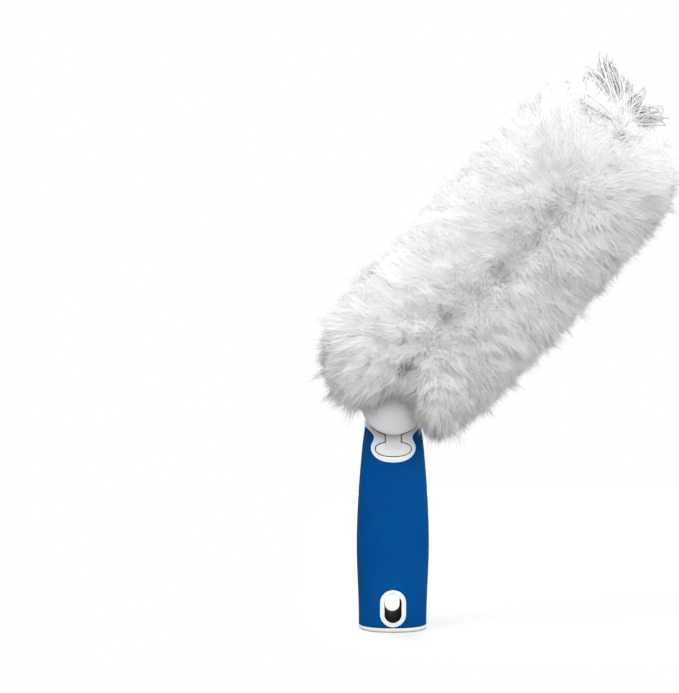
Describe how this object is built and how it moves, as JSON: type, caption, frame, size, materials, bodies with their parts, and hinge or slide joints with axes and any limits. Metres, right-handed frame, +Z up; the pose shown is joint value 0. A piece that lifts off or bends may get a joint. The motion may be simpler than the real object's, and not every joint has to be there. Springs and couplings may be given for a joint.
{
  "type": "blind duster",
  "caption": "Blind duster: a soft grip with a press-button pivot lock, a swinging paddle and a thick pull-off pile sleeve with a yarn tuft.",
  "frame": {"origin": "centre of the handle's bottom face, at the mouth of the pole socket", "axes": "+Z up the handle to the pivot, -Y out of the front face with the lock button, +X to the side that the head leans to at rest"},
  "size_m": [0.2194, 0.0722, 0.357],
  "materials": {
    "grip_rubber": "soft-touch moulded elastomer, satin, slightly darker where it turns away",
    "white_plastic": "white injection moulding, low gloss, sharp parting lines",
    "hub_plastic": "pale grey satin moulding on the hub's cover",
    "paddle_plastic": "off-white moulding, ribbed, hidden in the sleeve",
    "socket_plastic": "black moulded liner, satin",
    "bearing_plastic": "natural acetal bush and friction washer",
    "steel": "zinc-plated screw, nut, washer and spring leaf",
    "pile": "long dense white microfibre pile, tufted and slightly clumped",
    "yarn": "white looped yarn ends, loosely twisted",
    "knit": "white knitted backing and ribbed elastic cuff"
  },
  "bodies": {
    "handle": {"handle_core": "white_plastic", "grip": "grip_rubber", "pole_socket": "socket_plastic", "pivot_bush": "bearing_plastic", "pivot_screw": "steel", "pivot_nut": "steel", "nut_washer": "steel", "friction_washer": "bearing_plastic", "rear_cap": "white_plastic", "lock_leaf": "steel"},
    "lock": {"lock_button": "white_plastic"},
    "head": {"head_frame": "paddle_plastic", "hub_cap": "hub_plastic"},
    "sleeve": {"sleeve_backing": "knit", "sleeve_cuff": "knit", "pile_front": "pile", "pile_rear": "pile", "pile_heel": "pile", "tip_yarn": "yarn"}
  },
  "joints": [
    {"name": "head_pivot", "type": "hinge", "parent": "handle", "child": "head", "pos_m": [0, 0, 0.146], "axis": [0, -1, 0], "range_deg": [0, 172], "deforming": ["pile_heel", "lock_leaf"]},
    {"name": "lock_press", "type": "slide", "parent": "handle", "child": "lock", "axis": [0, 1, 0], "range_m": [0, 0.0035], "stiffness_N_per_m": 900, "springref_m": -0.002, "deforming": ["lock_leaf"]},
    {"name": "sleeve_pull", "type": "slide", "parent": "head", "child": "sleeve", "axis": [0.682, 0, 0.7314], "range_m": [0, 0.25], "deforming": ["pile_heel"]}
  ]
}
